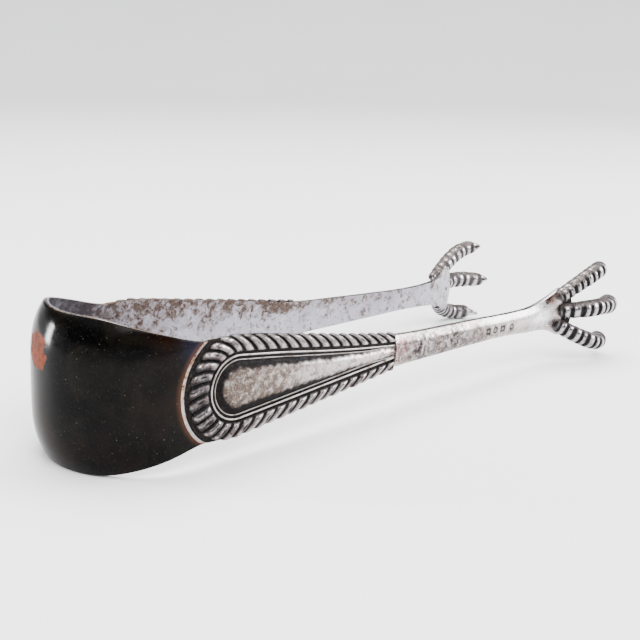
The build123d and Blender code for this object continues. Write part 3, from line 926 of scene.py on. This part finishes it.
def toe(side, place):
    around, count = 36, 280
    root_length = 0.9
    shape = np.array(TOES[place], float)
    # the whole toe is lifted, since it starts well past the end of the bend
    line = raised(curve_through(shape, np.linspace(0, 1, 200)), side, place, 130.0, 140.0)
    if side > 0:
        # the left toes run back along the outside of the palm
        tail = np.linspace(1, 0, 40, endpoint=False)[:, None]
        back = (line[3] - line[0]) * 6 + [1.9, -0.2, -0.1 * line[0][2]]
        line = np.concatenate([line[0] - tail * back, line])
    length = np.concatenate([[0], np.cumsum(np.linalg.norm(np.diff(line, axis=0), axis=1))])
    total = length[-1]
    ends = np.array(TOE_RADII[place]) * ([1, 1, 1, LEFT_END[place]] if side > 0 else [1, 1, 1, 1])
    cap = ends[-1] * 0.95
    tip = total + cap * np.sin(np.linspace(0, 1, 16)[1:] * math.pi / 2)
    root = root_length * (1 - np.cos(np.linspace(0, 1, 8)[:-1] * math.pi / 2))
    along = np.concatenate([root, np.linspace(root_length, total, count), tip])
    centres = np.stack([np.interp(along, length, line[:, i]) for i in range(3)], -1)
    beyond = np.clip(along - total, 0, None)
    heading = (line[-1] - line[-3]) / np.linalg.norm(line[-1] - line[-3])
    centres += beyond[:, None] * (heading + np.array([0, -0.15, 0]))
    w = np.clip(along / total, 0, 1)
    radius = through([0, 0.13, 0.45, 0.75, 1.0], (ends[0], 0.93 * ends[1], *ends[1:]), w)
    if side > 0:
        radius = radius * (0.55 + 0.45 * smooth(0.0, 0.22, w))
    # both ends are rounded
    from_root = np.clip(along / root_length, 0, 1)
    radius = radius * np.sqrt(np.clip(1 - (1 - from_root) ** 2, 0.02, 1))
    radius = radius * np.sqrt(np.clip(1 - (beyond / (cap + 0.02)) ** 2, 0, 1))
    angle = np.arange(around) / around * 2 * math.pi
    uneven = 0.07 * np.sin(w * 23 + 2 * side + len(place))[:, None]
    phase = w[:, None] * TOE_RINGS + uneven - 0.16 * np.cos(angle)[None, :]
    phase = phase + 0.05 * np.sin(3 * angle + 2)[None, :]
    p = phase - np.floor(phase)
    ridge = np.clip(1 - np.abs(2 * p - 1) ** 2.2, 0, 1) ** 0.8
    fade = smooth(0.0, 0.03, w)[:, None] * (1 - smooth(0.4, 1.9, beyond))[:, None]
    # deep rings on the sides of the toe, shallower along its upper edge and underneath
    outer_side = 0.55 + 0.45 * smooth(-0.7, 0.3, np.cos(angle))
    depth = 0.30 + 0.70 * smooth(0.95, 0.35, np.sin(angle)) * outer_side
    radii = radius[:, None] * (1 + (0.24 * ridge - 0.17) * fade * depth[None, :])
    dark = (1 - smooth(0.74, 1.0, ridge)) * fade * np.clip(depth * 1.3, 0, 1)[None, :]
    dark = np.maximum(dark, (1 - smooth(0.10, 0.45, along))[:, None] * 0.9)
    age = 0.30 + 0.65 * smooth(0.2, 0.9, np.sin(angle))[None, :] + 0 * dark
    node = f"{side_name(side)}_{place}_toe"
    tube(side, node, centres, radii, "toe", {"recess_and_shade": dark, "age": age})


def talon(side, place):
    around = 28
    end = np.array(TOES[place][2])
    tip = np.array(TALON_TIPS[place])
    bend = np.array([end[0] + 1.9, end[1] - 1.6, end[2] * 0.6 + tip[2] * 0.4])
    start = end + [0.3, 0, 0]
    t = np.linspace(0, 1, 40)[:, None]
    centres = start * (1 - t) ** 2 + bend * 2 * t * (1 - t) + tip * t**2
    root_lift = RAISE[place] * (side < 0)
    centres[:, 2] += (root_lift * (1 - t**2) + TIP_RAISE[place] * (side < 0) * t**2)[:, 0]
    radii = (1.45 * (1 - t[:, 0] ** 1.4) ** 0.85 + 0.05)[:, None] * np.ones((1, around))
    radii[-1] = 0.02
    age = np.full_like(radii, 0.1)
    node = f"{side_name(side)}_{place}_talon"
    tube(side, node, centres, radii, "talon", {"age": age, "recess_and_shade": 0 * age})


for which_side in (1, -1):
    bow_half(which_side)
    arm(which_side)
    gadroon(which_side)
    rail(which_side)
    for toe_place in TOES:
        toe(which_side, toe_place)
        talon(which_side, toe_place)


# ---- floor, light, camera ------------------------------------------------------------
def floor():
    """A pale table top that curves up to a low rim far off on all sides."""
    n = Nodes("pale_floor")
    tone = n.ramp(n.noise(6, 2), 0.3, 0.7)
    colour = n.mix(tone, (0.92, 0.92, 0.925), (0.94, 0.94, 0.945))
    material = n.finish(colour, 0.7, 0.0)
    n.shader.inputs["Specular IOR Level"].default_value = 0.2
    flat_radius, curve_radius, around = 1.0, 0.6, 96
    profile = [(flat_radius / 2, 0.0), (flat_radius, 0.0)]
    for a in np.linspace(0.06, 0.95, 16):
        rise = curve_radius * (1 - math.cos(a))
        profile.append((flat_radius + curve_radius * math.sin(a), rise))
    points = []
    faces = []
    for radius, height in profile:
        for k in range(around):
            turn = 2 * math.pi * k / around
            points.append((radius * math.cos(turn), radius * math.sin(turn), height))
    for ring in range(len(profile) - 1):
        here, beyond = ring * around, (ring + 1) * around
        for k in range(around):
            k2 = (k + 1) % around
            faces.append((here + k, beyond + k, beyond + k2, here + k2))
    faces.append(tuple(range(around)))
    mesh = bpy.data.meshes.new("floor")
    mesh.from_pydata(points, [], faces)
    mesh.polygons.foreach_set("use_smooth", [True] * len(faces))
    mesh.materials.append(material)
    obj = bpy.data.objects.new("floor", mesh)
    bpy.context.scene.collection.objects.link(obj)


def softbox(name, place, target, size, power, colour=(1, 1, 1)):
    light = bpy.data.lights.new(name, "AREA")
    light.shape = "RECTANGLE"
    light.size, light.size_y = size
    light.energy = power
    light.color = colour
    obj = bpy.data.objects.new(name, light)
    bpy.context.scene.collection.objects.link(obj)
    obj.location = place
    obj.rotation_euler = (Vector(target) - Vector(place)).to_track_quat("-Z", "Y").to_euler()
    obj.visible_camera = False


def world():
    """A pale room: light overhead, pale at table height, and dim walls between them for
    polished silver to show dark against the light."""
    w = bpy.data.worlds.new("studio")
    w.use_nodes = True
    tree = w.node_tree
    place = tree.nodes.new("ShaderNodeTexCoord")
    split = tree.nodes.new("ShaderNodeSeparateXYZ")
    ramp = tree.nodes.new("ShaderNodeValToRGB")
    tree.links.new(place.outputs["Generated"], split.inputs[0])
    tree.links.new(split.outputs["Z"], ramp.inputs["Fac"])
    stops = ((0.0, 0.6), (0.12, 0.5), (0.24, 0.045), (0.48, 0.045), (0.70, 0.62), (1.0, 0.75))
    elements = ramp.color_ramp.elements
    for number, (position, level) in enumerate(stops):
        element = elements[number] if number < 2 else elements.new(position)
        element.position = position
        element.color = (level * 0.985, level * 0.99, level, 1)
    background = tree.nodes["Background"]
    tree.links.new(ramp.outputs["Color"], background.inputs["Color"])
    background.inputs["Strength"].default_value = 2.6
    bpy.context.scene.world = w


def camera():
    """At the photograph's viewing angle, in the tongs' own frame."""
    azimuth, elevation, roll = math.radians(-42.38), math.radians(15.32), math.radians(2.41)
    target = np.array([70.8, 0, 0])
    distance = 275.1
    back = np.array([
        math.sin(azimuth) * math.cos(elevation),
        -math.cos(azimuth) * math.cos(elevation),
        math.sin(elevation),
    ])
    right = np.cross(-back, [0, 0, 1.0])
    right /= np.linalg.norm(right)
    up = np.cross(right, -back)
    rolled_right = math.cos(roll) * right + math.sin(roll) * up
    rolled_up = -math.sin(roll) * right + math.cos(roll) * up
    axes = [v[0] * ALONG + v[1] * SIDE + v[2] * UP for v in (rolled_right, rolled_up, back)]
    data = bpy.data.cameras.new("camera")
    data.sensor_width = 36.0
    data.lens = 62.17
    data.shift_x = 0.0347
    data.shift_y = 0.0333
    data.clip_start = 0.01
    obj = bpy.data.objects.new("camera", data)
    bpy.context.scene.collection.objects.link(obj)
    place = laid(target + back * distance)
    matrix = Matrix.Identity(4)
    for column in range(3):
        for row in range(3):
            matrix[row][column] = axes[column][row]
    for row in range(3):
        matrix[row][3] = place[row]
    obj.matrix_world = matrix
    bpy.context.scene.camera = obj


floor()
world()
softbox("key", (-0.25, -0.45, 0.70), (0, 0, 0.01), (0.5, 0.5), 8)
softbox("top", (0.15, 0.25, 0.80), (0, 0, 0.01), (0.7, 0.5), 12)
softbox("window", (0.66, -0.43, 0.36), (0.03, 0, 0.01), (0.60, 0.42), 13.0, (0.95, 0.96, 1.0))
softbox("pane", (-0.50, 0.51, 0.065), (-0.08, 0, 0.02), (0.085, 0.26), 14.0)
camera()
